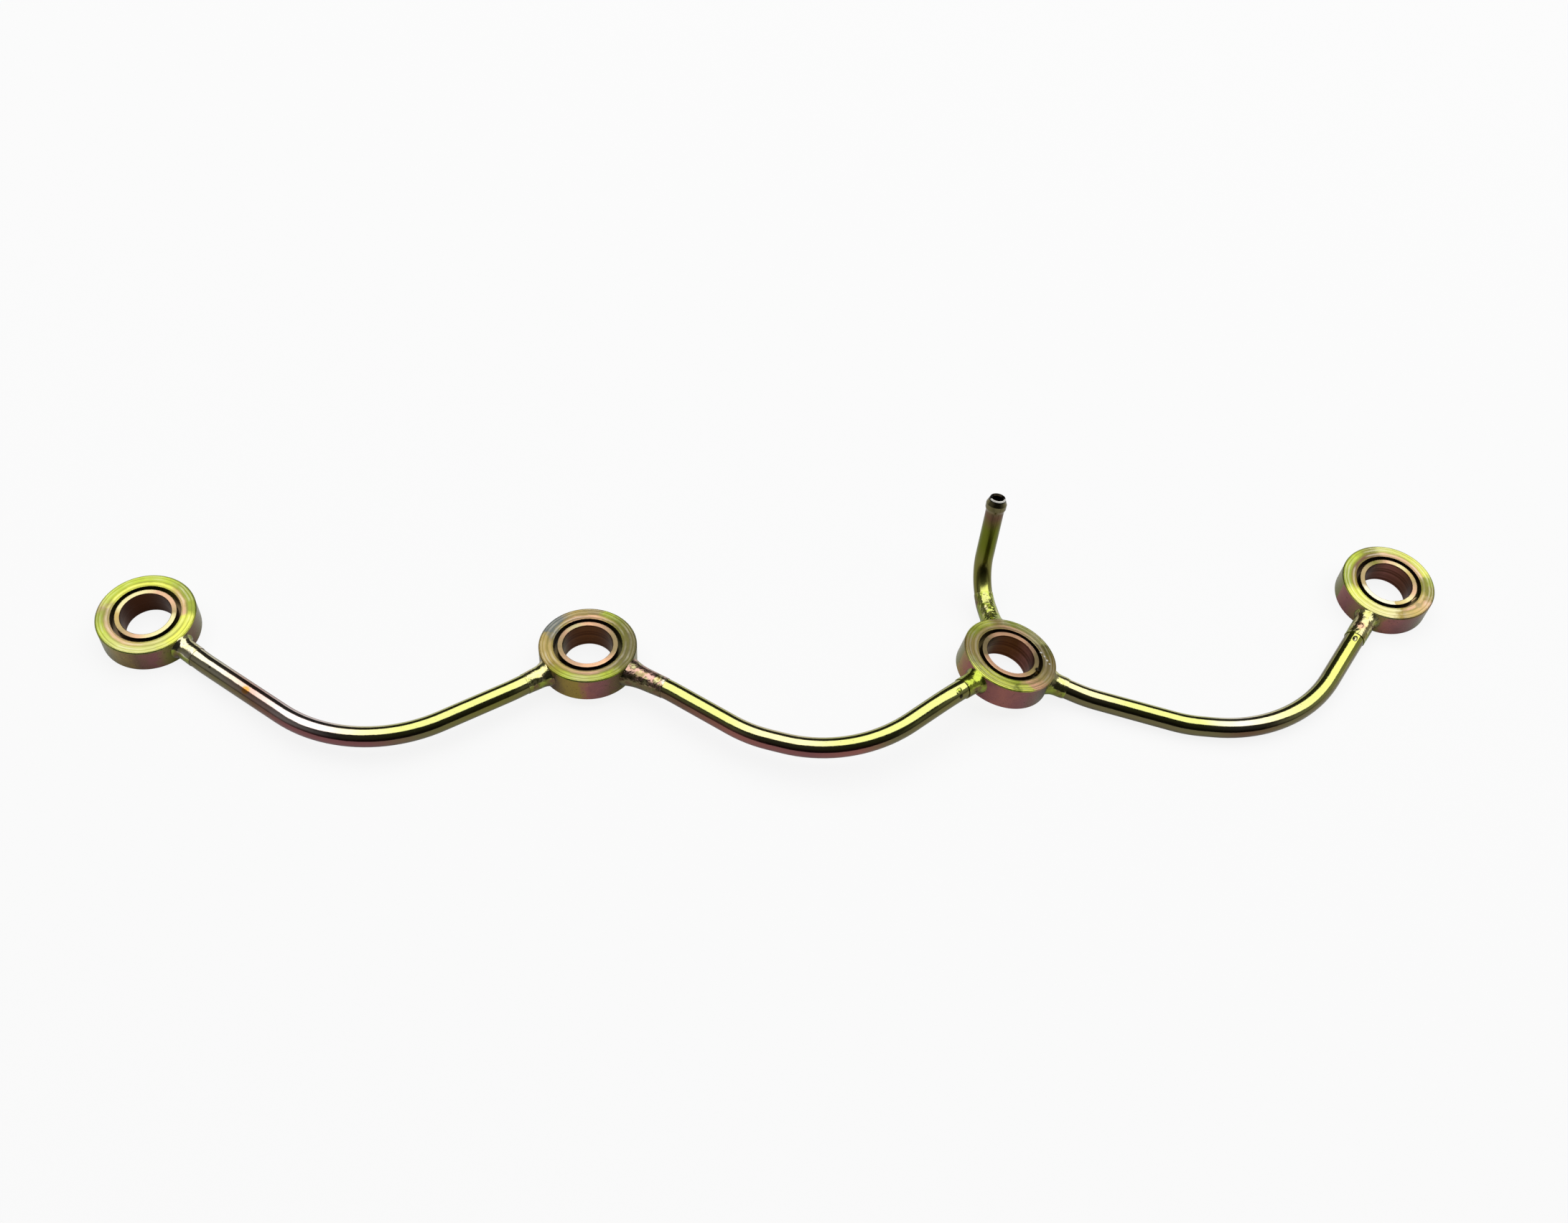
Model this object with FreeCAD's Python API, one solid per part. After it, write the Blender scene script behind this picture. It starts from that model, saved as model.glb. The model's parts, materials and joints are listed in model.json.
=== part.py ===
import FreeCAD, Part

import math
import os

from FreeCAD import Placement, Rotation, Vector

# Fuel return pipe of a four-cylinder diesel engine. Four turned steel eyes seat over the injectors.
# Bowed tubes are brazed between them, and an outlet tube with a hose bead rises from the third eye.
# Lengths are in millimetres and angles in degrees. The origin is the centre of the first eye's bore,
# half-way through its thickness. +X runs towards the fourth eye, the bows reach towards -Y, +Z is up.
# The rail lies as it rests on a flat surface: the end eyes lie flat, the middle two lean a little.

# Eyes
eye_outer_diameter = 29.0
eye_bore_diameter = 14.8
eye_thickness = 8.3
eye_edge_chamfer = 0.35
bore_edge_chamfer = 0.1
groove_inner_diameter = 17.8
groove_width = 1.3
groove_depth = 3.0

# Places of the eyes' centres in plan, and how far the middle eyes tilt towards +X and towards +Y
eye_2_x = 129.5
eye_2_y = -16.9
eye_2_lean_back = 6.2
eye_3_x = 254.0
eye_3_y = -26.1
eye_3_tilt_right = 12.5
eye_3_lean_back = 6.9
eye_4_x = 380.6

# Tubes, and their seats in the eyes
link_tube_diameter = 6.0
outlet_tube_diameter = 5.6
tube_wall = 1.0
bow_radius = 42.0
socket_depth = 2.6
socket_clearance = 0.05
port_diameter = 3.4
bend_share_of_run = 0.98

# Each link tube leaves one eye and arrives at the next, straight out of both along a heading in the
# eye's own plane. A bow corner is placed from the centre of the eye that the tube leaves.
link_1_leave_heading = -40.5
link_1_leave_run = 24.0
link_1_corner_along = 63.2
link_1_corner_out = -52.3
link_1_corner_rise = 3.5
link_1_arrive_heading = 211.1
link_1_arrive_run = 26.0

link_2_leave_heading = -32.5
link_2_leave_run = 28.0
link_2_first_corner_along = 45.8
link_2_first_corner_out = -31.7
link_2_first_corner_rise = 2.5
link_2_second_corner_along = 75.0
link_2_second_corner_out = -42.7
link_2_second_corner_rise = 4.5
link_2_arrive_heading = 217.0
link_2_arrive_run = 24.0

link_3_leave_heading = -23.9
link_3_leave_run = 26.0
link_3_corner_along = 52.3
link_3_corner_out = -21.1
link_3_corner_rise = -4.3
link_3_arrive_heading = 231.0
link_3_arrive_run = 67.3

# The outlet tube leaves the back of the third eye, bends upwards and ends in a formed hose bead.
outlet_heading = 95.9
outlet_run = 32.8
outlet_bend = 80.0
outlet_bend_radius = 13.0
outlet_sideways_lean = 6.7
outlet_rise = 32.4
bead_diameter = 6.3
bead_land = 1.5
bead_lead_in = 2.0
bead_back_slope = 1.0
tip_diameter = 4.6
tip_bore_diameter = 3.2
tip_mouth_diameter = 4.0
tip_mouth_depth = 0.4

# Braze metal: its foot on an eye's wall, the hollow fillet down to the tube, and the coat that ran on
# along the tube. Lengths are measured outwards from the eye's wall.
braze_foot_width = 8.6
braze_foot_margin = 0.2
braze_fillet_length = 2.4
braze_coat = 0.3
braze_thin_end = 0.12
braze_stepped_end = 0.25
braze_coat_step = 3.0
braze_eye_1_run_out = 6.0
braze_eye_1_fillet_length = 1.6
braze_eye_1_foot_width = 7.2
braze_eye_1_coat = 0.15
braze_eye_2_left_run_out = 7.0
braze_eye_2_right_run_out = 12.0
braze_eye_2_right_fillet_length = 6.0
braze_eye_2_right_foot_width = 9.8
braze_eye_3_left_run_out = 5.6
braze_eye_3_right_run_out = 5.0
braze_eye_3_outlet_run_out = 13.0
braze_eye_3_outlet_fillet_length = 4.0
braze_eye_4_run_out = 9.5


class Eye:
    """One turned ring: its centre, its axis, and the headings of the tubes that enter it."""

    def __init__(self, x=0.0, y=0.0, tilt_right=0.0, lean_back=0.0):
        across = math.sin(math.radians(tilt_right))
        back = math.sin(math.radians(lean_back))
        self.axis = Vector(across, back, math.sqrt(1 - across**2 - back**2))
        self.centre = Vector(x, y, seat_height(self.axis.z))
        self.entries = []

    def radial(self, heading):
        """Unit vector in the eye's own plane, lying over a compass heading."""
        angle = math.radians(heading)
        flat = Vector(math.cos(angle), math.sin(angle), 0)
        climb = -flat.dot(self.axis) / self.axis.z
        return Vector(flat.x, flat.y, climb).normalize()

    def point(self, heading, reach):
        return self.centre + self.radial(heading) * reach

    def place(self, shape):
        """Turn a shape made about the origin and +Z onto this eye's centre and axis."""
        shape.Placement = Placement(self.centre, Rotation(Vector(0, 0, 1), self.axis))
        return shape


def seat_height(cosine):
    """Height of an eye's centre when its lowest rim touches the surface that a flat eye lies on."""
    sine = math.sqrt(max(0.0, 1 - cosine**2))
    radius = eye_outer_diameter / 2
    half = eye_thickness / 2
    face_corner = (radius - eye_edge_chamfer) * sine + half * cosine
    wall_corner = radius * sine + (half - eye_edge_chamfer) * cosine
    return max(face_corner, wall_corner) - half


def revolve(profile):
    """Solid of revolution about +Z from (radius, height) points."""
    points = [Vector(radius, 0, height) for radius, height in profile]
    face = Part.Face(Part.makePolygon(points + points[:1]))
    return face.revolve(Vector(0, 0, 0), Vector(0, 0, 1), 360)


def eye_blank(eye):
    """The eye's outer form with no bore, groove or sockets."""
    radius = eye_outer_diameter / 2
    half = eye_thickness / 2
    chamfer = eye_edge_chamfer
    return eye.place(revolve([
        (0, -half),
        (radius - chamfer, -half),
        (radius, chamfer - half),
        (radius, half - chamfer),
        (radius - chamfer, half),
        (0, half),
    ]))


def eye_bore(eye):
    """The bore, with its chamfered mouths, as a cutting tool that runs past both faces."""
    bore = eye_bore_diameter / 2
    half = eye_thickness / 2
    chamfer = bore_edge_chamfer
    return eye.place(revolve([
        (0, -half - chamfer),
        (bore + 2 * chamfer, -half - chamfer),
        (bore, chamfer - half),
        (bore, half - chamfer),
        (bore + 2 * chamfer, half + chamfer),
        (0, half + chamfer),
    ]))


def face_groove(eye):
    """The annular fuel groove in the upper face, as a cutting tool."""
    inner = groove_inner_diameter / 2
    outer = inner + groove_width
    half = eye_thickness / 2
    return eye.place(revolve([
        (inner, half - groove_depth),
        (outer, half - groove_depth),
        (outer, half + groove_width),
        (inner, half + groove_width),
    ]))


def rod(eye, heading, start, end, diameter):
    """Cylinder along an eye's radial direction, between two distances from its centre."""
    return Part.makeCylinder(diameter / 2, end - start, eye.point(heading, start), eye.radial(heading))


def seat_reach():
    """Distance from an eye's centre to the floor of a tube socket."""
    return eye_outer_diameter / 2 - socket_depth


def make_eye(eye):
    """Turned ring with a blind socket for each tube, and a port drilled on into the groove's floor."""
    solid = eye_blank(eye).cut([eye_bore(eye), face_groove(eye)])
    tools = []
    for heading, diameter in eye.entries:
        socket = diameter + 2 * socket_clearance
        port_end = groove_inner_diameter / 2
        tools.append(rod(eye, heading, seat_reach(), eye_outer_diameter, socket))
        tools.append(rod(eye, heading, port_end, eye_outer_diameter / 2, port_diameter))
    return solid.cut(tools)


def rounded_route(corners, radius):
    """Wire of straight runs joined by tangent arcs; an arc shrinks where its runs are too short."""
    runs = [after - before for before, after in zip(corners, corners[1:])]
    reaches = [0.0]
    for before, after in zip(runs, runs[1:]):
        reaches.append(radius * math.tan(before.getAngle(after) / 2))
    reaches.append(0.0)
    wanted = list(reaches)
    for index, run in enumerate(runs):
        needed = wanted[index] + wanted[index + 1]
        room = bend_share_of_run * run.Length
        share = room / needed if needed > room else 1.0
        for end in (index, index + 1):
            reaches[end] = min(reaches[end], wanted[end] * share)
    edges = []
    start = corners[0]
    for index in range(1, len(corners) - 1):
        corner = corners[index]
        before = Vector(runs[index - 1]).normalize()
        after = Vector(runs[index]).normalize()
        enter = corner - before * reaches[index]
        leave = corner + after * reaches[index]
        half_turn = before.getAngle(after) / 2
        to_centre = (after - before).normalize()
        arc_radius = reaches[index] / math.tan(half_turn)
        middle = corner + to_centre * (arc_radius / math.cos(half_turn) - arc_radius)
        edges.append(Part.LineSegment(start, enter).toShape())
        edges.append(Part.Arc(enter, middle, leave).toShape())
        start = leave
    edges.append(Part.LineSegment(start, corners[-1]).toShape())
    return Part.Wire(edges)


def sweep_disc(route, diameter):
    """Solid of round section along a route."""
    start = route.OrderedEdges[0]
    centre = start.valueAt(start.FirstParameter)
    circle = Part.Circle(centre, start.tangentAt(start.FirstParameter), diameter / 2)
    return route.makePipeShell([Part.Wire(circle.toShape())], True, True)


def make_tube(route, diameter):
    return sweep_disc(route, diameter).cut(sweep_disc(route, diameter - 2 * tube_wall))


def frame_along(route, distance):
    """Point and direction of a route at a distance from its start."""
    left = distance
    for edge in route.OrderedEdges:
        if left <= edge.Length:
            parameter = edge.getParameterByLength(left)
            return edge.valueAt(parameter), edge.tangentAt(parameter)
        left -= edge.Length
    raise ValueError("the braze runs past the end of its tube")


def oval(centre, along, up, half_width, half_height):
    """Elliptical wire square to a direction, its short side towards up."""
    across = up.cross(along)
    ellipse = Part.Ellipse(Vector(0, 0, 0), max(half_width, half_height), half_height)
    wire = Part.Wire(ellipse.toShape())
    wire.Placement = Placement(centre, Rotation(across, along.cross(across), along, "ZXY"))
    return wire


def make_braze(
    eye, route, diameter, run_out, end_coat=braze_thin_end,
    fillet_length=braze_fillet_length, foot_width=braze_foot_width, coat=braze_coat,
):
    """Braze metal that fillets a tube into an eye's wall and runs out along the tube as a coat."""
    wall = eye_outer_diameter / 2
    coated = diameter / 2 + coat
    foot_half_width = foot_width / 2
    foot_half_height = eye_thickness / 2 - braze_foot_margin
    foot = math.sqrt(wall**2 - foot_half_width**2) - braze_foot_margin
    fillet_end = wall + fillet_length
    wires = []
    for reach in (foot, wall, wall + fillet_length / 4, wall + fillet_length / 2, fillet_end):
        hollow_across = ((fillet_end - reach) / (fillet_end - foot))**2
        hollow_up = min(1.0, (fillet_end - reach) / fillet_length)**2
        centre, along = frame_along(route, reach - seat_reach())
        half_width = coated + (foot_half_width - coated) * hollow_across
        half_height = coated + (foot_half_height - coated) * hollow_up
        wires.append(oval(centre, along, eye.axis, half_width, half_height))
    coat_length = run_out - fillet_length
    steps = math.ceil(coat_length / braze_coat_step)
    for step in range(1, steps + 1):
        share = step / steps
        centre, along = frame_along(route, fillet_end + share * coat_length - seat_reach())
        radius = coated + (diameter / 2 + end_coat - coated) * share
        wires.append(oval(centre, along, eye.axis, radius, radius))
    body = Part.makeLoft(wires, True, False, False, 3)
    cleared = body.cut([eye_blank(eye), sweep_disc(route, diameter)])
    # Crumbs that the cut leaves inside the wall are dropped.
    return max(cleared.Solids, key=lambda solid: solid.Volume)


def link_route(leaving, leave, corners, arriving, arrive):
    """Route of a link tube from the floor of its socket in one eye to that in the next.
    leave and arrive each hold a heading and the length of the run along it."""
    points = [leaving.point(leave[0], seat_reach()), leaving.point(*leave)]
    points += [leaving.centre + corner for corner in corners]
    points += [arriving.point(*arrive), arriving.point(arrive[0], seat_reach())]
    leaving.entries.append((leave[0], link_tube_diameter))
    arriving.entries.append((arrive[0], link_tube_diameter))
    return rounded_route(points, bow_radius)


def reverse_route(route):
    """The same route, walked from its other end."""
    edges = []
    for edge in reversed(route.OrderedEdges):
        first = edge.valueAt(edge.FirstParameter)
        middle = edge.valueAt((edge.FirstParameter + edge.LastParameter) / 2)
        last = edge.valueAt(edge.LastParameter)
        if isinstance(edge.Curve, Part.Line):
            edges.append(Part.LineSegment(last, first).toShape())
        else:
            edges.append(Part.Arc(last, middle, first).toShape())
    return Part.Wire(edges)


def outlet_directions(eye):
    """Where the outlet's two runs point: out of the eye's back, and up past the bend."""
    out = eye.radial(outlet_heading)
    sideways = eye.axis.cross(out)
    lean = math.radians(outlet_sideways_lean)
    up = eye.axis * math.cos(lean) + sideways * math.sin(lean)
    bend = math.radians(outlet_bend)
    return out, out * math.cos(bend) + up * math.sin(bend)


def outlet_route(eye):
    """Route of the outlet tube, from its socket to the back of the hose bead."""
    corner = eye.point(outlet_heading, outlet_run)
    upward = outlet_directions(eye)[1]
    bead_length = bead_lead_in + bead_land + bead_back_slope
    eye.entries.append((outlet_heading, outlet_tube_diameter))
    points = [eye.point(outlet_heading, seat_reach()), corner, corner + upward * (outlet_rise - bead_length)]
    return rounded_route(points, outlet_bend_radius)


def make_outlet_tube(eye, route):
    """Bent tube whose open end is rolled out into a hose bead and closed in again at the tip."""
    upward = outlet_directions(eye)[1]
    bead_back = eye.point(outlet_heading, outlet_run)
    bead_length = bead_lead_in + bead_land + bead_back_slope
    bead_back += upward * (outlet_rise - bead_length)
    outer = outlet_tube_diameter / 2
    inner = outer - tube_wall
    bead_inner = bead_diameter / 2 - tube_wall
    land_start = bead_back_slope
    land_end = land_start + bead_land
    bead = revolve([
        (inner, 0),
        (outer, 0),
        (bead_diameter / 2, land_start),
        (bead_diameter / 2, land_end),
        (tip_diameter / 2, bead_length),
        (tip_mouth_diameter / 2, bead_length),
        (tip_bore_diameter / 2, bead_length - tip_mouth_depth),
        (bead_inner, land_end),
        (bead_inner, land_start),
    ])
    bead.Placement = Placement(bead_back, Rotation(Vector(0, 0, 1), upward))
    return make_tube(route, outlet_tube_diameter).fuse(bead).removeSplitter()


eye_1 = Eye()
eye_2 = Eye(eye_2_x, eye_2_y, lean_back=eye_2_lean_back)
eye_3 = Eye(eye_3_x, eye_3_y, eye_3_tilt_right, eye_3_lean_back)
eye_4 = Eye(eye_4_x)

route_1 = link_route(
    eye_1, (link_1_leave_heading, link_1_leave_run),
    [Vector(link_1_corner_along, link_1_corner_out, link_1_corner_rise)],
    eye_2, (link_1_arrive_heading, link_1_arrive_run),
)
route_2 = link_route(
    eye_2, (link_2_leave_heading, link_2_leave_run),
    [
        Vector(link_2_first_corner_along, link_2_first_corner_out, link_2_first_corner_rise),
        Vector(link_2_second_corner_along, link_2_second_corner_out, link_2_second_corner_rise),
    ],
    eye_3, (link_2_arrive_heading, link_2_arrive_run),
)
route_3 = link_route(
    eye_3, (link_3_leave_heading, link_3_leave_run),
    [Vector(link_3_corner_along, link_3_corner_out, link_3_corner_rise)],
    eye_4, (link_3_arrive_heading, link_3_arrive_run),
)
route_out = outlet_route(eye_3)

nodes = {
    "eye_1": make_eye(eye_1),
    "eye_2": make_eye(eye_2),
    "eye_3": make_eye(eye_3),
    "eye_4": make_eye(eye_4),
    "link_tube_1": make_tube(route_1, link_tube_diameter),
    "link_tube_2": make_tube(route_2, link_tube_diameter),
    "link_tube_3": make_tube(route_3, link_tube_diameter),
    "outlet_tube": make_outlet_tube(eye_3, route_out),
}

nodes.update({
    "braze_eye_1": make_braze(
        eye_1, route_1, link_tube_diameter, braze_eye_1_run_out,
        fillet_length=braze_eye_1_fillet_length, foot_width=braze_eye_1_foot_width, coat=braze_eye_1_coat,
    ),
    "braze_eye_2_left": make_braze(
        eye_2, reverse_route(route_1), link_tube_diameter, braze_eye_2_left_run_out,
    ),
    "braze_eye_2_right": make_braze(
        eye_2, route_2, link_tube_diameter, braze_eye_2_right_run_out,
        fillet_length=braze_eye_2_right_fillet_length, foot_width=braze_eye_2_right_foot_width,
    ),
    "braze_eye_3_left": make_braze(
        eye_3, reverse_route(route_2), link_tube_diameter, braze_eye_3_left_run_out, braze_stepped_end,
    ),
    "braze_eye_3_right": make_braze(eye_3, route_3, link_tube_diameter, braze_eye_3_right_run_out),
    "braze_eye_3_outlet": make_braze(
        eye_3, route_out, outlet_tube_diameter, braze_eye_3_outlet_run_out,
        fillet_length=braze_eye_3_outlet_fillet_length,
    ),
    "braze_eye_4": make_braze(
        eye_4, reverse_route(route_3), link_tube_diameter, braze_eye_4_run_out, braze_stepped_end,
    ),
})

os.makedirs("parts", exist_ok=True)
for name, shape in nodes.items():
    shape.exportStep("parts/" + name + ".step")
    print(name, "valid" if shape.isValid() else "NOT VALID", len(shape.Solids), "solid", round(shape.Volume, 1))
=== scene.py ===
import json
import math

import bpy
from mathutils import Matrix, Vector


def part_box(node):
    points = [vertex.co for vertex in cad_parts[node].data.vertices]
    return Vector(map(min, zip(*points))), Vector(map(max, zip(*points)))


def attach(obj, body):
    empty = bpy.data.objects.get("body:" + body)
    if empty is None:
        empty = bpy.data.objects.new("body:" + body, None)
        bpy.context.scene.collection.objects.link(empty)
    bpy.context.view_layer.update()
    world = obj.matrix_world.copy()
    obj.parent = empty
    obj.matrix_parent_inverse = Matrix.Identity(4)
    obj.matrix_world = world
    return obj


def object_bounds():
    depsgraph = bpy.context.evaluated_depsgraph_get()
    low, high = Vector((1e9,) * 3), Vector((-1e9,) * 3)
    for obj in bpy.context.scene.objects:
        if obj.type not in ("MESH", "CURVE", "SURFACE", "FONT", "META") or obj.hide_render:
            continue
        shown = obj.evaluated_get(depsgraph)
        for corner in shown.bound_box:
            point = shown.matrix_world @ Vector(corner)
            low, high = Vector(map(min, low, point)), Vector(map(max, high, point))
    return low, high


MM = 0.001

# The camera, placed and turned as the photograph was taken, in metres and degrees
CAMERA_PLACE = Vector((141.3, -306.8, 420.4)) * MM
CAMERA_PITCH = 53.751
CAMERA_YAW = 8.928
CAMERA_ROLL = 5.718
CAMERA_LENS = 39.10
SENSOR_WIDTH = 36

# One soft panel over the table, which shines straight down
PANEL_PLACE = (0.70, 0.65, 1.6)
PANEL_SIZE = (3.8, 2.24)
PANEL_RADIANCE = 1.95
PANEL_TURN = -4

# Brightness of the room from its left side to its right
ROOM_TONES = [(0.0, 0.20), (0.24, 0.012), (0.78, 0.012), (1.0, 0.28)]

# The table, and how bright it and the backdrop look to the camera and in the metal
TABLE_SIZE = 40
TABLE_GAP = 0.02 * MM
TABLE_TONE = 0.82
TABLE_SEEN = 0.87
TABLE_IN_METAL = 0.2
BACKDROP_SEEN = 0.92
BACKDROP_IN_METAL = 0.01

# Colours of the yellow chromate over zinc, from thin film to thick
YELLOW = (0.60, 0.62, 0.10, 1)
LIME = (0.42, 0.50, 0.06, 1)
PALE_LIME = (0.50, 0.51, 0.17, 1)
MOSS = (0.25, 0.30, 0.045, 1)
DEEP_MOSS = (0.13, 0.15, 0.015, 1)
OLIVE = (0.18, 0.17, 0.04, 1)
DRAB = (0.16, 0.14, 0.065, 1)
MUSTARD = (0.27, 0.19, 0.04, 1)
GOLD = (0.46, 0.34, 0.12, 1)
CREAM = (0.64, 0.58, 0.30, 1)
PEACH = (0.56, 0.35, 0.22, 1)
TAN = (0.34, 0.26, 0.13, 1)
AMBER = (0.70, 0.30, 0.07, 1)
PAPER = (0.85, 0.83, 0.76, 1)
IVORY = (0.72, 0.66, 0.50, 1)
BISQUE = (0.72, 0.60, 0.56, 1)
ROSE = (0.60, 0.36, 0.30, 1)
BRIGHT_LIME = (0.78, 0.84, 0.14, 1)
BRIGHT_PEACH = (0.85, 0.50, 0.30, 1)
BRIGHT_TAN = (0.52, 0.40, 0.15, 1)
PINK = (0.28, 0.11, 0.09, 1)
MAUVE = (0.21, 0.085, 0.085, 1)
BROWN = (0.15, 0.085, 0.05, 1)
RUST = (0.13, 0.05, 0.016, 1)
UMBER = (0.075, 0.045, 0.025, 1)
EMBER = (0.055, 0.016, 0.004, 1)
SLATE = (0.17, 0.19, 0.20, 1)
# Near black: painted shade in the eyes' grooves, the outlet's mouth and small notches, and a few dark dots
# and pits
SHADE_AND_SPOT_BLACK = (0.02, 0.016, 0.01, 1)

bpy.context.scene.view_settings.view_transform = "Standard"
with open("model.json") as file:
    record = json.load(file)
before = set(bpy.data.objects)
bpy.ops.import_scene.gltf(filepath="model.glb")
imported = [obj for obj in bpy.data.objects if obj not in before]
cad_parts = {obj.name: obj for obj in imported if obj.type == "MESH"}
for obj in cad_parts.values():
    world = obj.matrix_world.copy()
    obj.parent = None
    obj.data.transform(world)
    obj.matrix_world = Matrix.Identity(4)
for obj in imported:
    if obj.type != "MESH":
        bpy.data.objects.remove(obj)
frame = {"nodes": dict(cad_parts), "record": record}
cad_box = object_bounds()
mounts = {mount["name"]: mount for mount in frame["record"]["mounts"]}
eye_low, eye_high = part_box("eye_1")

# Radii and heights of an eye's surfaces, measured from its centre
LAND_INNER = mounts["eye_1_bore"]["dims"]["r_mm"] * MM
GROOVE_INNER = 8.9 * MM
GROOVE_OUTER = 10.2 * MM
WALL_RADIUS = -eye_low.x
FACE_HEIGHT = eye_high.z
GROOVE_FLOOR = FACE_HEIGHT - 3.0 * MM
RIM_HEIGHT = FACE_HEIGHT - 0.35 * MM

# The outlet's mouth, measured from the middle of its bead
MOUTH_HEIGHT = 2.75 * MM
MOUTH_RADIUS = 2.0 * MM

# How far a drop of braze stands proud of the metal under it, in millimetres
DROP_PROUD = 0.22


def grey(tone):
    return (tone, tone, tone, 1)


def set_stops(ramp, stops):
    """Gives a colour ramp its stops, each a position from 0 to 1 and a colour."""
    while len(ramp.elements) < len(stops):
        ramp.elements.new(1)
    for element, (position, colour) in zip(ramp.elements, stops):
        element.position = position
        element.color = colour


class Socket:
    """A node's output. Arithmetic on it adds Math nodes to the same finish."""

    def __init__(self, finish, socket):
        self.finish = finish
        self.socket = socket

    def __add__(self, other):
        return self.finish.math("ADD", self, other)

    def __sub__(self, other):
        return self.finish.math("SUBTRACT", self, other)

    def __mul__(self, other):
        return self.finish.math("MULTIPLY", self, other)

    def __rsub__(self, other):
        return self.finish.math("SUBTRACT", other, self)

    __radd__ = __add__
    __rmul__ = __mul__

    def of(self, name):
        """Another output of the same node."""
        return Socket(self.finish, self.socket.node.outputs[name])


class Finish:
    """The nodes of one material, or of the world."""

    def __init__(self, owner):
        self.owner = owner
        owner.use_nodes = True
        self.tree = owner.node_tree
        self.tree.nodes.clear()

    def node(self, kind, settings=None, inputs=None):
        """Adds a node: its settings first, then the values or links of its sockets."""
        node = self.tree.nodes.new(kind)
        for name, value in (settings or {}).items():
            if name == "stops":
                set_stops(node.color_ramp, value)
            else:
                setattr(node, name, value)
        for name, value in (inputs or {}).items():
            if isinstance(value, Socket):
                self.tree.links.new(value.socket, node.inputs[name])
            else:
                node.inputs[name].default_value = value
        shown = [output for output in node.outputs if output.enabled]
        return Socket(self, shown[0]) if shown else None

    def math(self, operation, *values):
        return self.node("ShaderNodeMath", {"operation": operation}, dict(enumerate(values)))

    def place(self, offset=(0, 0, 0)):
        """Position on the object, moved by an offset so that no two pieces share a pattern."""
        here = self.node("ShaderNodeTexCoord").of("Object")
        return self.node("ShaderNodeVectorMath", {"operation": "ADD"}, {0: here, 1: offset})

    def split(self, vector):
        """The three components of a vector."""
        parts = self.node("ShaderNodeSeparateXYZ", None, {0: vector})
        return parts.of("X"), parts.of("Y"), parts.of("Z")

    def noise(self, where, scale, detail=2.0, roughness=0.5):
        """Noise from 0 to 1, with its features about 1 / scale across."""
        return self.node("ShaderNodeTexNoise", None, {
            "Vector": where, "Scale": scale, "Detail": detail, "Roughness": roughness,
        })

    def lines(self, distance, scale, detail=1.0):
        """Noise that changes with one distance alone, as tool marks do."""
        return self.node("ShaderNodeTexNoise", {"noise_dimensions": "1D"}, {
            "W": distance, "Scale": scale, "Detail": detail,
        })

    def step(self, value, low, high):
        """0 below low and 1 above high."""
        return self.node("ShaderNodeMapRange", {"interpolation_type": "SMOOTHSTEP"}, {
            "Value": value, "From Min": low, "From Max": high,
        })

    def blend(self, share, first, second):
        """Mixes two colours, each a colour or a link."""
        return self.node("ShaderNodeMix", {"data_type": "RGBA"}, {0: share, 6: first, 7: second})

    def near(self, where, centre, reach, softness=0.3):
        """1 within a reach of a point on the object, fading to 0 beyond it. Both are in millimetres."""
        point = [value * MM for value in centre]
        away = self.node("ShaderNodeVectorMath", {"operation": "DISTANCE"}, {0: where, 1: point}).of("Value")
        return 1 - self.step(away, reach * (1 - softness) * MM, reach * (1 + softness) * MM)

    def lay_spots_of_stain_and_light(self, colour, stain_and_light_spots):
        """Lays small round spots over a colour, each a centre and a reach in millimetres and a tint: some
        real marks, some painted shade and some painted highlights.
        """
        here = self.place()
        for centre, reach, tint in stain_and_light_spots:
            colour = self.blend(self.near(here, centre, reach), colour, tint)
        return colour

    def ramp(self, value, stops):
        """Colours along a value from 0 to 1."""
        return self.node("ShaderNodeValToRGB", {"stops": stops}, {0: value})

    def around(self, heading, stops):
        """Colours placed round an eye by their heading in degrees."""
        return self.ramp(heading, [((degrees + 180) / 360, colour) for degrees, colour in stops])

    def bump(self, height, distance, normal=None):
        """Relief of a given depth, laid over another normal if there is one."""
        inputs = {"Height": height, "Distance": distance, "Strength": 1.0}
        if normal is not None:
            inputs["Normal"] = normal
        return self.node("ShaderNodeBump", None, inputs)

    def metal(self, colour, roughness, normal, metallic=1.0):
        """Closes the material with a metal surface."""
        surface = self.node("ShaderNodeBsdfPrincipled", None, {
            "Base Color": colour, "Roughness": roughness, "Normal": normal, "Metallic": metallic,
        })
        self.node("ShaderNodeOutputMaterial", None, {"Surface": surface})
        return self.owner


def facing_up(finish):
    """How far the surface faces up, from -1 to 1."""
    return finish.split(finish.node("ShaderNodeNewGeometry").of("Normal"))[2]


def seen_from(finish, mount):
    """Position measured from a mount: across it, behind it, along its axis, and away from that axis."""
    turn = Vector((0, 0, 1)).rotation_difference(Vector(mount["axis"])).to_euler()
    local = finish.node("ShaderNodeMapping", {"vector_type": "TEXTURE"}, {
        "Vector": finish.place(), "Location": mount["pos_m"], "Rotation": turn,
    })
    x, y, height = finish.split(local)
    flat = finish.node("ShaderNodeCombineXYZ", None, {"X": x, "Y": y})
    radius = finish.node("ShaderNodeVectorMath", {"operation": "LENGTH"}, {0: flat}).of("Value")
    return x, y, height, radius


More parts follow.
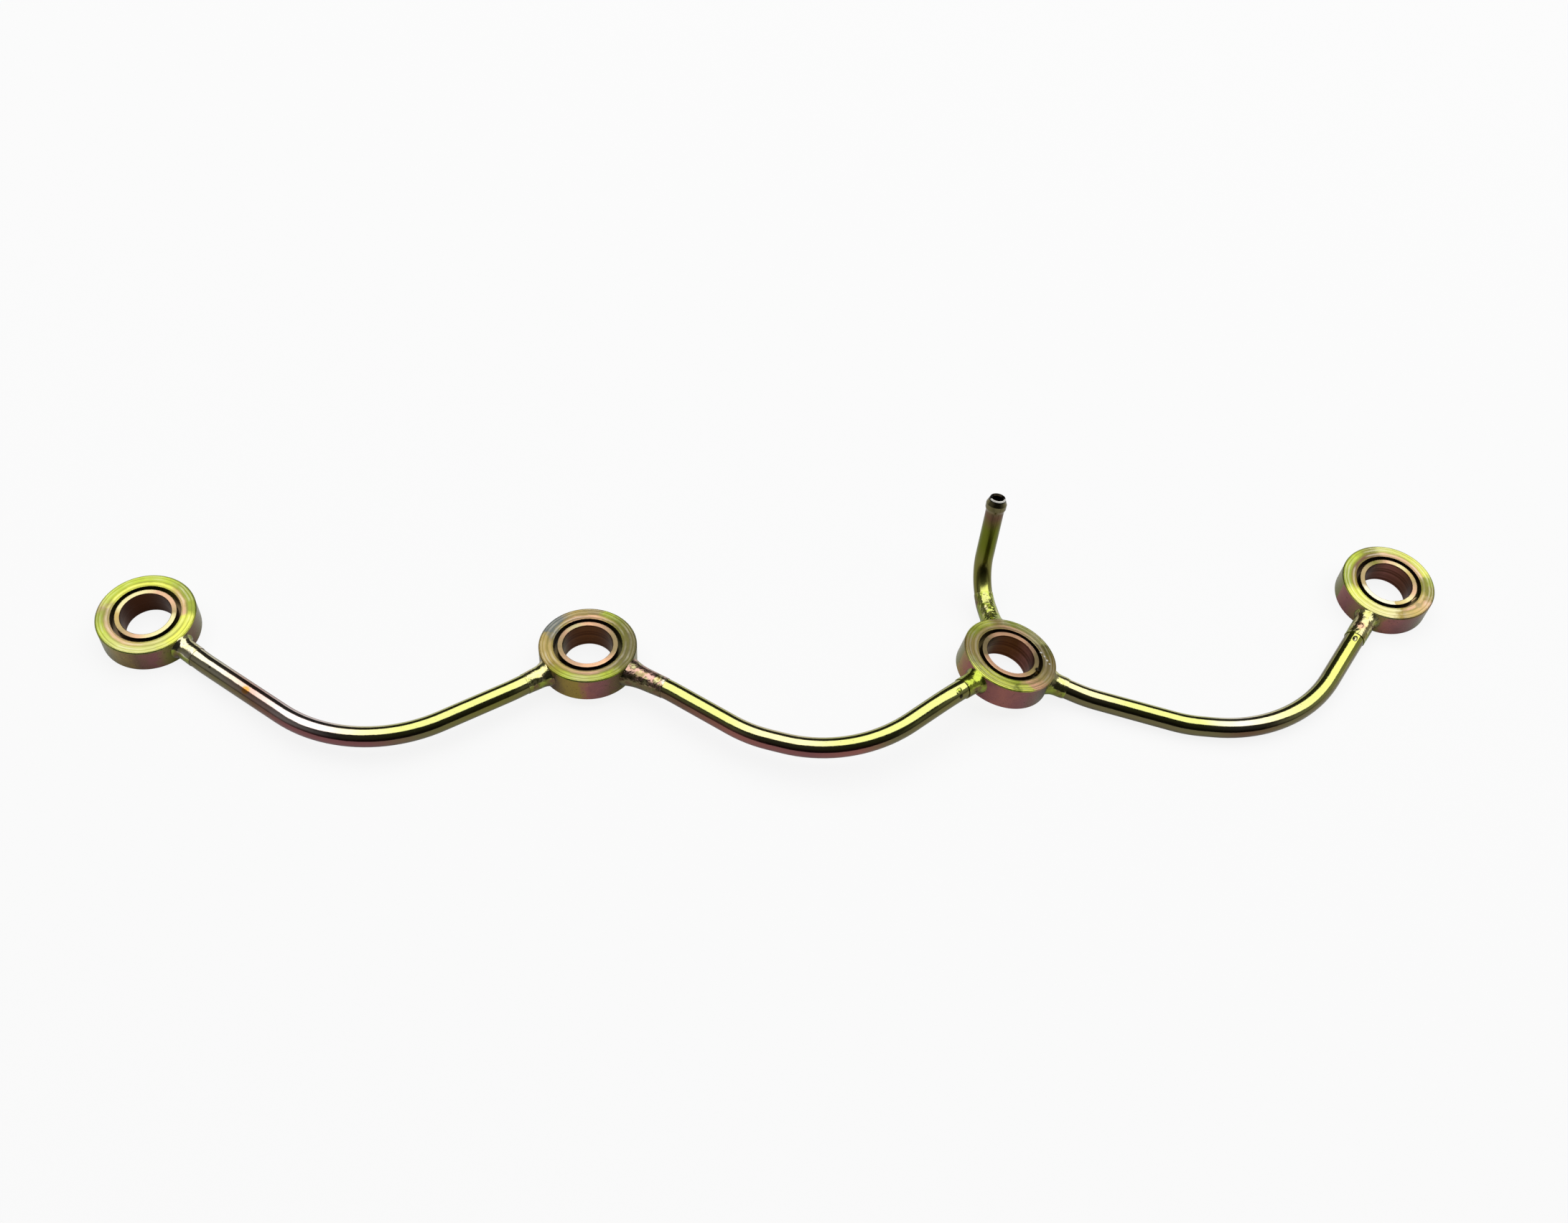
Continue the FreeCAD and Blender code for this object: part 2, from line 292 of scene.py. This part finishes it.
def eye_finish(name, mount, tints, stain_and_light_spots, offset):
    """Turned steel ring: concentric tool marks on its face, feed rings in its bore, plated yellow."""
    finish = Finish(bpy.data.materials.new(name))
    x, y, height, radius = seen_from(finish, mount)
    where = finish.place(offset)
    clouds = finish.noise(where, 320, 3, 0.6)
    drift = clouds - 0.5
    heading = finish.math("ARCTAN2", y, x) * (0.5 / math.pi) + 0.5 + drift * 0.10
    # Colours by heading: partly the plating's own, partly painted highlight sectors on the face and land
    tone = {surface: finish.around(heading, stops) for surface, stops in tints.items()}

    # Face: its own colours beside the groove, then coarse and fine tool marks that take turns in patches
    outer_share = finish.step(radius + drift * (1.2 * MM), 11.2 * MM, 12.4 * MM)
    patches = finish.step(finish.noise(where, 150, 2, 0.5), 0.35, 0.65)
    uneven = radius + drift * (0.5 * MM)
    marks = finish.lines(uneven, 1300, 2)
    fine_marks = finish.lines(uneven, 3600, 1)
    colour = finish.blend(outer_share, tone["inner_face"], tone["face"])
    colour = finish.blend(finish.step(marks, 0.48, 0.60) * patches * 0.55, colour, OLIVE)
    colour = finish.blend(finish.step(fine_marks, 0.50, 0.60) * (1 - patches) * 0.5, colour, OLIVE)
    colour = finish.blend((1 - finish.step(marks, 0.38, 0.47)) * (1 - patches) * 0.35, colour, IVORY)

    # Land between the groove and the bore
    land_share = 1 - finish.step(radius, GROOVE_INNER - 0.1 * MM, GROOVE_INNER + 0.1 * MM)
    colour = finish.blend(land_share, colour, tone["land"])

    # Wall, with small dark spots
    below_rim = 1 - finish.step(height, RIM_HEIGHT - 0.05 * MM, RIM_HEIGHT + 0.05 * MM)
    wall_share = finish.step(radius, WALL_RADIUS - 0.3 * MM, WALL_RADIUS - 0.2 * MM) * below_rim
    spots = finish.step(finish.noise(where, 1300, 2, 0.6), 0.64, 0.72)
    colour = finish.blend(wall_share, colour, finish.blend(spots * 0.7, tone["wall"], UMBER))

    # Bore, with the rings that its boring tool left
    bore_share = 1 - finish.step(radius, LAND_INNER + 0.08 * MM, LAND_INNER + 0.16 * MM)
    feed = finish.lines(height, 1100, 1)
    bore = finish.blend(finish.step(feed, 0.42, 0.62) * 0.5 + 0.3, tone["bore"], EMBER)
    colour = finish.blend(bore_share, colour, bore)

    # Groove: painted shade, dark from just under its edges down to its floor
    groove_share = finish.step(radius, GROOVE_INNER - 0.1 * MM, GROOVE_INNER)
    groove_share = groove_share * (1 - finish.step(radius, GROOVE_OUTER, GROOVE_OUTER + 0.1 * MM))
    groove_share = groove_share * (1 - finish.step(height, FACE_HEIGHT - 0.2 * MM, FACE_HEIGHT - 0.05 * MM))
    groove_share = groove_share * finish.step(height, GROOVE_FLOOR - 0.65 * MM, GROOVE_FLOOR - 0.25 * MM)
    colour = finish.blend(groove_share * 0.8, colour, SHADE_AND_SPOT_BLACK)
    colour = finish.lay_spots_of_stain_and_light(colour, stain_and_light_spots)

    rounded = finish.node("ShaderNodeBevel", {"samples": 4}, {"Radius": 0.3 * MM})
    on_faces = finish.step(finish.math("ABSOLUTE", height), FACE_HEIGHT - 0.1 * MM, FACE_HEIGHT - 0.05 * MM)
    normal = finish.bump(marks * on_faces, 0.03 * MM, rounded)
    normal = finish.bump(feed * bore_share, 0.03 * MM, normal)
    normal = finish.bump(clouds, 0.03 * MM, normal)
    return finish.metal(colour, 0.28 + clouds * 0.12 - wall_share * 0.06, normal)


def open_end(finish, colour):
    """Lays the outlet's mouth over a colour: dark inside as painted shade, its cut edge pale in front as a
    painted highlight.
    The second result says where the surface is metal."""
    x, y, height, radius = seen_from(finish, mounts["outlet_tail"])
    inside = finish.step(height, MOUTH_HEIGHT - 0.75 * MM, MOUTH_HEIGHT - 0.6 * MM)
    edge = finish.step(radius, MOUTH_RADIUS, MOUTH_RADIUS + 0.08 * MM)
    edge = edge * (1 - finish.step(y, -0.9 * MM, -0.3 * MM))
    edge = edge * finish.step(height, MOUTH_HEIGHT - 0.45 * MM, MOUTH_HEIGHT - 0.35 * MM)
    # Painted shade inside the mouth, and a painted highlight on the front of its cut edge
    colour = finish.blend(inside, colour, SHADE_AND_SPOT_BLACK)
    return finish.blend(edge, colour, PAPER), 1 - edge


def tube_finish(name, run, above, below, gloss, stain_and_light_spots, offset, has_mouth):
    """Drawn steel tube, its plating changing colour along its run; bright on top as painted highlight, darker
    underneath as painted shade.
    """
    finish = Finish(bpy.data.materials.new(name))
    where = finish.place(offset)
    axis, start, end = run
    clouds = finish.noise(where, 90, 3, 0.55)
    waves = finish.noise(where, 260, 2, 0.5)
    specks = finish.noise(where, 1500, 2, 0.6)
    travelled = finish.split(finish.place())[axis] - start * MM
    along = travelled * (1 / ((end - start) * MM)) + (clouds - 0.5) * 0.12
    # Painted light: surfaces that face down take the darker colours below, and those that face up the paler
    # ones above
    painted_shade_under = 1 - finish.step(facing_up(finish) + (clouds - 0.5) * 0.2, 0.58, 0.80)
    colour = finish.blend(painted_shade_under, finish.ramp(along, above), finish.ramp(along, below))
    colour = finish.blend(finish.step(specks, 0.66, 0.76) * 0.4, colour, UMBER)
    colour = finish.lay_spots_of_stain_and_light(colour, stain_and_light_spots)
    metallic = 1.0
    if has_mouth:
        colour, metallic = open_end(finish, colour)
    return finish.metal(colour, gloss + specks * 0.07, finish.bump(waves, 0.05 * MM), metallic)


def braze_finish(name, above, below, relief, gloss, stain_and_light_spots, offset):
    """Braze metal that flowed and set: low lumps and a few pits, under the same plating, bright on top as
    painted highlight and darker underneath as painted shade.
    """
    finish = Finish(bpy.data.materials.new(name))
    where = finish.place(offset)
    patches = finish.noise(where, 240, 3, 0.55)
    lumps = finish.noise(where, 520, 2, 0.5)
    specks = finish.noise(where, 1300, 2, 0.6)
    # Painted light: surfaces that face down take the darker colours below, and those that face up the paler
    # ones above
    painted_shade_under = 1 - finish.step(facing_up(finish) + (lumps - 0.5) * 0.4, 0.40, 0.70)
    colour = finish.blend(painted_shade_under, finish.ramp(patches, above), finish.ramp(patches, below))
    colour = finish.blend(finish.step(specks, 0.62, 0.70) * 0.7, colour, UMBER)
    colour = finish.lay_spots_of_stain_and_light(colour, stain_and_light_spots)
    normal = finish.bump(specks, 0.02 * MM, finish.bump(lumps, relief * MM))
    return finish.metal(colour, gloss + specks * 0.12, normal)


def drop_of_metal(place, outward, along, half_sizes, relief):
    """One drop: where the metal under it is, its outward direction, the way it runs and its half sizes."""
    outward = Vector(outward).normalized()
    across = outward.cross(Vector(along)).normalized()
    turn = Matrix((across.cross(outward), across, outward)).transposed()
    bpy.ops.object.select_all(action="DESELECT")
    bpy.ops.mesh.primitive_ico_sphere_add(
        subdivisions=4, radius=MM, rotation=turn.to_euler(), scale=half_sizes,
        location=(Vector(place) + outward * (DROP_PROUD - half_sizes[2])) * MM,
    )
    drop = bpy.context.active_object
    bpy.ops.object.transform_apply(location=True, rotation=True, scale=True)
    bpy.ops.object.modifier_add(type="DISPLACE")
    drop.modifiers[-1].texture = relief
    drop.modifiers[-1].texture_coords = "LOCAL"
    drop.modifiers[-1].strength = 0.5 * min(half_sizes) * MM
    bpy.ops.object.modifier_apply(modifier=drop.modifiers[-1].name)
    bpy.ops.object.shade_smooth()
    return drop


def droplets(name, beads, material):
    """Uneven drops of metal as one piece, each bead as drop_of_metal takes it, in millimetres."""
    relief = bpy.data.textures.new(name + " relief", "CLOUDS")
    relief.noise_scale = 0.9 * MM
    drops = [drop_of_metal(*bead, relief) for bead in beads]
    if len(drops) > 1:
        for drop in drops:
            drop.select_set(True)
        bpy.ops.object.join()
    piece = bpy.context.active_object
    piece.name = name
    piece.data.materials.append(material)
    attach(piece, "root")


def dress(node, material):
    """Gives a CAD node its finish."""
    for slot in frame["nodes"][node].material_slots:
        slot.material = material


def add_camera():
    """The camera at the photograph's place, its turn built from yaw, pitch and roll."""
    data = bpy.data.cameras.new("camera")
    data.lens = CAMERA_LENS
    data.sensor_width = SENSOR_WIDTH
    data.sensor_fit = "HORIZONTAL"
    camera = bpy.data.objects.new("camera", data)
    bpy.context.scene.collection.objects.link(camera)
    yaw = math.radians(CAMERA_YAW)
    pitch = math.radians(CAMERA_PITCH)
    roll = math.radians(CAMERA_ROLL)
    forward = Vector((math.sin(yaw) * math.cos(pitch), math.cos(yaw) * math.cos(pitch), -math.sin(pitch)))
    level_right = Vector((math.cos(yaw), -math.sin(yaw), 0))
    level_up = level_right.cross(forward)
    right = level_right * math.cos(roll) + level_up * math.sin(roll)
    up = level_up * math.cos(roll) - level_right * math.sin(roll)
    turn = Matrix((right, up, -forward)).transposed().to_4x4()
    camera.matrix_world = Matrix.Translation(CAMERA_PLACE) @ turn
    bpy.context.scene.camera = camera


def add_panel():
    """The soft rectangular lamp, as bright all over as its radiance says."""
    data = bpy.data.lights.new("ceiling panel", "AREA")
    data.shape = "RECTANGLE"
    data.size, data.size_y = PANEL_SIZE
    data.energy = PANEL_RADIANCE * math.pi * data.size * data.size_y
    lamp = bpy.data.objects.new("ceiling panel", data)
    bpy.context.scene.collection.objects.link(lamp)
    lamp.location = PANEL_PLACE
    lamp.rotation_euler = (0, 0, math.radians(PANEL_TURN))


def looked_at(finish, seen, in_metal):
    """How much of its own brightness a backdrop shows: to the camera and through glass, and in metal."""
    path = finish.node("ShaderNodeLightPath")
    straight = path.of("Is Camera Ray") + path.of("Is Transmission Ray")
    return straight * seen + path.of("Is Glossy Ray") * in_metal


def add_world():
    """Dim room with lighter sides, and a pale backdrop."""
    world = bpy.data.worlds.new("room")
    bpy.context.scene.world = world
    finish = Finish(world)
    sideways = finish.split(finish.node("ShaderNodeTexCoord").of("Generated"))[0]
    room = finish.ramp(sideways * 0.5 + 0.5, [(place, grey(tone)) for place, tone in ROOM_TONES])
    backdrop = looked_at(finish, BACKDROP_SEEN, BACKDROP_IN_METAL)
    background = finish.node("ShaderNodeBackground", None, {"Color": finish.blend(backdrop, room, grey(1))})
    finish.node("ShaderNodeOutputWorld", None, {"Surface": background})


def add_floor():
    """Plain pale table just under the rail, which keeps the rail's shadow."""
    bpy.ops.object.select_all(action="DESELECT")
    bpy.ops.mesh.primitive_plane_add(size=TABLE_SIZE, location=(0, 0, cad_box[0][2] - TABLE_GAP))
    floor = bpy.context.active_object
    floor.name = "table"
    finish = Finish(bpy.data.materials.new("pale table"))
    diffuse = finish.node("ShaderNodeBsdfDiffuse", None, {"Color": grey(TABLE_TONE)})
    glow = finish.node("ShaderNodeEmission", None, {"Color": grey(1), "Strength": 1.0})
    seen = looked_at(finish, TABLE_SEEN, TABLE_IN_METAL)
    surface = finish.node("ShaderNodeMixShader", None, {0: seen, 1: diffuse, 2: glow})
    finish.node("ShaderNodeOutputMaterial", None, {"Surface": surface})
    floor.data.materials.append(finish.owner)


# Colours round each eye by heading: 0 is towards +X, 90 behind, -90 in front
# On the face, inner face and land the colours are partly the plating's own and partly painted highlight: the
# bright sectors that a turned face shows, and the pale front of the land
eye_tints = {
    "eye_1": {
        "face": [(-180, MOSS), (-150, LIME), (-120, PALE_LIME), (-70, PALE_LIME), (-50, YELLOW), (-8, YELLOW),
                 (6, MOSS), (48, MOSS), (70, LIME), (150, LIME), (166, TAN), (180, MOSS)],
        "inner_face": [(-180, TAN), (-140, PEACH), (-100, GOLD), (-60, PALE_LIME), (-10, YELLOW), (2, PEACH),
                       (45, GOLD), (60, YELLOW), (150, YELLOW), (168, TAN), (180, TAN)],
        "land": [(-180, GOLD), (-130, TAN), (-100, PEACH), (-70, CREAM), (-15, CREAM), (0, TAN), (30, PEACH),
                 (70, PEACH), (100, CREAM), (160, CREAM), (180, GOLD)],
        "wall": [(-180, OLIVE), (-145, OLIVE), (-118, MUSTARD), (-95, BROWN), (-75, MAUVE), (-58, OLIVE),
                 (-20, BROWN), (10, OLIVE), (180, OLIVE)],
        "bore": [(-180, RUST), (-120, RUST), (40, RUST), (80, EMBER), (150, EMBER), (180, RUST)],
    },
    "eye_2": {
        "face": [(-180, GOLD), (-158, GOLD), (-145, MUSTARD), (-118, LIME), (-100, PALE_LIME), (-65, LIME),
                 (-45, OLIVE), (-25, DRAB), (12, DRAB), (32, OLIVE), (48, MOSS), (62, LIME), (74, TAN),
                 (105, GOLD), (120, TAN), (134, SLATE), (154, SLATE), (162, GOLD), (180, GOLD)],
        "inner_face": [(-180, GOLD), (-130, GOLD), (-90, PEACH), (-60, TAN), (-20, DRAB), (30, OLIVE),
                       (60, GOLD), (75, BRIGHT_PEACH), (110, PEACH), (130, GOLD), (154, SLATE), (166, TAN),
                       (180, GOLD)],
        "land": [(-180, TAN), (-120, PEACH), (-95, BRIGHT_PEACH), (-50, BRIGHT_PEACH), (-20, TAN), (20, TAN),
                 (60, PEACH), (90, BRIGHT_PEACH), (115, CREAM), (140, PEACH), (180, TAN)],
        "wall": [(-180, OLIVE), (-135, BROWN), (-118, MUSTARD), (-102, MUSTARD), (-92, PINK), (-78, MAUVE),
                 (-62, BROWN), (-45, OLIVE), (180, OLIVE)],
        "bore": [(-180, OLIVE), (-120, RUST), (0, MUSTARD), (40, RUST), (140, RUST), (170, OLIVE),
                 (180, OLIVE)],
    },
    "eye_3": {
        "face": [(-180, GOLD), (-162, PALE_LIME), (-145, BRIGHT_LIME), (-98, BRIGHT_LIME), (-90, MOSS),
                 (-82, BRIGHT_LIME), (-72, BRIGHT_LIME), (-67, BRIGHT_PEACH), (-56, BRIGHT_PEACH),
                 (-46, BRIGHT_TAN), (-20, TAN), (-5, MUSTARD), (18, OLIVE), (26, PALE_LIME), (40, CREAM),
                 (78, LIME), (90, CREAM), (98, GOLD), (115, BRIGHT_LIME), (140, LIME), (165, GOLD),
                 (180, GOLD)],
        "inner_face": [(-180, BRIGHT_TAN), (-150, BRIGHT_TAN), (-125, BRIGHT_LIME), (-92, LIME),
                       (-70, BRIGHT_PEACH), (-50, BRIGHT_TAN), (-15, TAN), (20, TAN), (34, CREAM),
                       (75, BRIGHT_PEACH), (110, BRIGHT_TAN), (180, BRIGHT_TAN)],
        "land": [(-180, TAN), (-158, BRIGHT_PEACH), (-80, BRIGHT_PEACH), (-50, BRIGHT_TAN), (-20, TAN),
                 (5, TAN), (25, PEACH), (50, BRIGHT_PEACH), (110, BRIGHT_PEACH), (140, TAN), (180, TAN)],
        "wall": [(-180, MUSTARD), (-160, PINK), (-125, MAUVE), (-108, PINK), (-80, MAUVE), (-60, BROWN),
                 (-30, OLIVE), (180, OLIVE)],
        "bore": [(-180, RUST), (-40, RUST), (20, PINK), (60, RUST), (100, RUST), (140, OLIVE), (180, RUST)],
    },
    "eye_4": {
        "face": [(-180, MOSS), (-168, YELLOW), (-98, CREAM), (-88, MUSTARD), (-82, TAN), (-70, GOLD),
                 (-38, PEACH), (-28, OLIVE), (-12, OLIVE), (0, MOSS), (12, YELLOW), (88, PALE_LIME),
                 (104, OLIVE), (130, LIME), (160, MOSS), (180, MOSS)],
        "inner_face": [(-180, MUSTARD), (-166, YELLOW), (-100, CREAM), (-88, MUSTARD), (-70, PEACH),
                       (-35, GOLD), (-20, OLIVE), (0, OLIVE), (14, PEACH), (80, PEACH), (100, BROWN),
                       (150, BROWN), (180, MUSTARD)],
        "land": [(-180, TAN), (-168, IVORY), (-92, IVORY), (-86, GOLD), (-60, CREAM), (-30, PEACH), (0, TAN),
                 (25, GOLD), (50, CREAM), (80, PEACH), (105, OLIVE), (140, TAN), (180, TAN)],
        "wall": [(-180, PINK), (-160, MAUVE), (-120, OLIVE), (-106, PINK), (-88, MAUVE), (-65, BROWN),
                 (-45, OLIVE), (180, OLIVE)],
        "bore": [(-180, RUST), (-60, MAUVE), (0, RUST), (70, PINK), (120, RUST), (180, RUST)],
    },
}
eye_stain_and_light_spots = {
    # On eye 3 the near-black spot is painted shade in a notch of the groove; the pale dots are a scratch
    "eye_3": [((262.4, -30.8, 6.3), 0.9, SHADE_AND_SPOT_BLACK), ((264.9, -23.6, 4.9), 0.35, PAPER),
              ((265.6, -25.0, 4.9), 0.3, PAPER), ((266.2, -26.6, 5.0), 0.35, PAPER),
              ((266.7, -27.9, 5.0), 0.3, PAPER)],
    # On eye 4 the tan spot is a painted shadow of the turning sliver
    "eye_4": [((387.5, -9.3, 4.15), 1.0, TAN)],
}
eye_materials = {}
for index, (node, tints) in enumerate(eye_tints.items()):
    eye_materials[node] = eye_finish(
        node + " finish", mounts[node + "_bore"], tints, eye_stain_and_light_spots.get(node, []), (0.0, 0.37 * index, 0.0),
    )
    dress(node, eye_materials[node])

# Each tube: the axis that it is followed along, with where that starts and ends in millimetres, its tints
# above, paler as painted highlight, and below, darker as painted shade, its roughness and its spots
tube_tints = {
    "link_tube_1": (
        (0, 8.0, 120.0),
        [(0.0, CREAM), (0.14, IVORY), (0.24, ROSE), (0.32, BISQUE), (0.42, BISQUE), (0.52, CREAM),
         (0.62, PALE_LIME), (0.90, PALE_LIME), (1.0, CREAM)],
        [(0.0, DRAB), (0.16, DRAB), (0.24, BROWN), (0.34, MAUVE), (0.54, MAUVE), (0.64, DRAB), (0.86, OLIVE),
         (1.0, DRAB)],
        0.08, [((31.5, -28.1, 4.6), 1.5, AMBER), ((20.3, -19.0, 3.2), 0.4, SHADE_AND_SPOT_BLACK)],
    ),
    "link_tube_2": (
        (0, 138.0, 246.0),
        [(0.0, ROSE), (0.14, PALE_LIME), (0.28, PALE_LIME), (0.36, CREAM), (0.48, CREAM), (0.60, PALE_LIME),
         (1.0, PALE_LIME)],
        [(0.0, DRAB), (0.16, BROWN), (0.30, PINK), (0.50, MAUVE), (0.62, PINK), (0.75, DRAB), (1.0, OLIVE)],
        # Near-black spot: painted shade in the notch where the braze coat ends
        0.08, [((237.4, -41.9, 10.2), 0.7, SHADE_AND_SPOT_BLACK)],
    ),
    "link_tube_3": (
        (0, 264.0, 375.0),
        [(0.0, CREAM), (0.14, CREAM), (0.22, PALE_LIME), (0.40, PALE_LIME), (0.52, IVORY), (0.62, CREAM),
         (0.72, PALE_LIME), (1.0, YELLOW)],
        [(0.0, DRAB), (0.20, DRAB), (0.44, DRAB), (0.52, BROWN), (0.66, DRAB), (1.0, DRAB)],
        0.08, [],
    ),
    "outlet_tube": (
        (2, 0.0, 32.0),
        [(0.0, PALE_LIME), (0.35, YELLOW), (0.60, DRAB), (0.85, BROWN), (1.0, BROWN)],
        [(0.0, OLIVE), (0.30, OLIVE), (0.50, DEEP_MOSS), (0.68, DEEP_MOSS), (0.82, BROWN), (0.90, DRAB),
         (1.0, DRAB)],
        0.20, [],
    ),
}
for index, (node, traits) in enumerate(tube_tints.items()):
    dress(node, tube_finish(node + " finish", *traits, (0.31 * index, 0.0, 0.0), node == "outlet_tube"))

# Each braze: its tints above, paler as painted highlight, and below, darker as painted shade,
# the height of its lumps in millimetres, its roughness and its spots of colour, painted shade and painted
# highlight
bright_above = [(0.34, CREAM), (0.46, PALE_LIME), (0.58, CREAM), (0.68, GOLD)]
olive_below = [(0.36, BROWN), (0.48, OLIVE), (0.60, MOSS)]
brown_below = [(0.38, UMBER), (0.50, BROWN), (0.62, PINK)]
braze_tints = {
    "braze_eye_1": ([(0.34, IVORY), (0.5, CREAM), (0.64, IVORY)], olive_below, 0.10, 0.10, []),
    "braze_eye_2_left": (bright_above, olive_below, 0.18, 0.12, []),
    "braze_eye_2_right": (
        [(0.34, DRAB), (0.42, TAN), (0.48, ROSE), (0.54, DRAB), (0.60, CREAM), (0.68, MUSTARD)],
        [(0.36, UMBER), (0.48, DRAB), (0.62, BROWN)], 0.35, 0.20,
        # Ivory and rose patches: painted highlights on the braze
        [((139.6, -23.3, 7.0), 2.0, IVORY), ((147.8, -28.6, 6.2), 1.3, ROSE),
         ((152.0, -31.0, 6.1), 1.2, IVORY)],
    ),
    "braze_eye_3_left": (
        [(0.34, MOSS), (0.48, LIME), (0.64, MOSS)], olive_below, 0.18, 0.14,
        # Near-black spot: painted shade in the notch where the braze coat ends
        [((237.6, -41.6, 10.4), 0.8, SHADE_AND_SPOT_BLACK)],
    ),
    "braze_eye_3_right": (bright_above, olive_below, 0.12, 0.12, []),
    "braze_eye_3_outlet": (
        [(0.34, PALE_LIME), (0.48, LIME), (0.60, CREAM)], olive_below, 0.40, 0.18, [],
    ),
    "braze_eye_4": (
        [(0.34, GOLD), (0.46, CREAM), (0.56, PALE_LIME), (0.66, MUSTARD)], olive_below, 0.28, 0.14,
        [((367.3, -15.6, 3.3), 1.4, PEACH), ((363.6, -20.6, 3.3), 0.5, SHADE_AND_SPOT_BLACK)],
    ),
}
braze_materials = {}
for index, (node, traits) in enumerate(braze_tints.items()):
    braze_materials[node] = braze_finish(node + " finish", *traits, (0.17 * index, 0.2, 0.0))
    dress(node, braze_materials[node])
rosy_drop = braze_finish(
    "rosy drop finish", [(0.36, ROSE), (0.48, TAN), (0.60, CREAM)], brown_below, 0.15, 0.16, [],
    (0.9, 0.4, 0.0),
)

# Drops of braze metal that ran on past the fillets, and a sliver that the turning tool left on the last eye
droplets("braze_drops_eye_2", [
    ((144.5, -26.8, 5.75), (-0.10, -0.05, 0.99), (0.84, -0.53, 0), (1.7, 1.1, 0.55)),
    ((146.9, -30.5, 5.05), (-0.42, -0.58, 0.70), (0.84, -0.53, 0), (1.1, 0.8, 0.40)),
    ((150.1, -31.6, 5.60), (-0.20, -0.30, 0.93), (0.84, -0.53, 0), (1.5, 0.9, 0.50)),
], rosy_drop)
droplets("braze_drops_eye_3", [
    ((253.0, -9.9, 4.7), (0.22, 0.12, 0.97), (0.1, 1.0, 0), (1.2, 0.9, 0.42)),
    ((252.2, -7.4, 4.35), (-0.10, 0.12, 0.99), (0.1, 1.0, 0), (1.3, 0.9, 0.45)),
    ((252.9, -5.4, 4.1), (0.35, 0.12, 0.93), (0.1, 1.0, 0), (1.1, 0.8, 0.38)),
    ((251.9, -2.9, 3.85), (0.05, 0.10, 0.99), (0.1, 1.0, 0), (1.2, 0.9, 0.42)),
    ((236.7, -40.6, 11.35), (0.30, -0.25, 0.92), (0.7, 0.7, 0.1), (1.2, 0.8, 0.38)),
], braze_materials["braze_eye_3_outlet"])
droplets("braze_drops_eye_4", [
    ((367.3, -15.6, 3.25), (-0.12, 0.10, 0.99), (0.62, 0.78, 0), (1.5, 1.0, 0.50)),
    ((365.6, -17.6, 3.15), (-0.35, 0.20, 0.92), (0.62, 0.78, 0), (1.2, 0.8, 0.38)),
    ((364.3, -20.4, 3.1), (0.10, -0.08, 0.99), (0.62, 0.78, 0), (1.2, 0.8, 0.38)),
], braze_materials["braze_eye_4"])
droplets("turning_burr_eye_4", [
    ((386.65, -7.0, 4.08), (0.0, 0.0, 1.0), (0.82, 0.57, 0), (1.6, 0.22, 0.14)),
], eye_materials["eye_4"])

add_camera()
add_panel()
add_world()
add_floor()
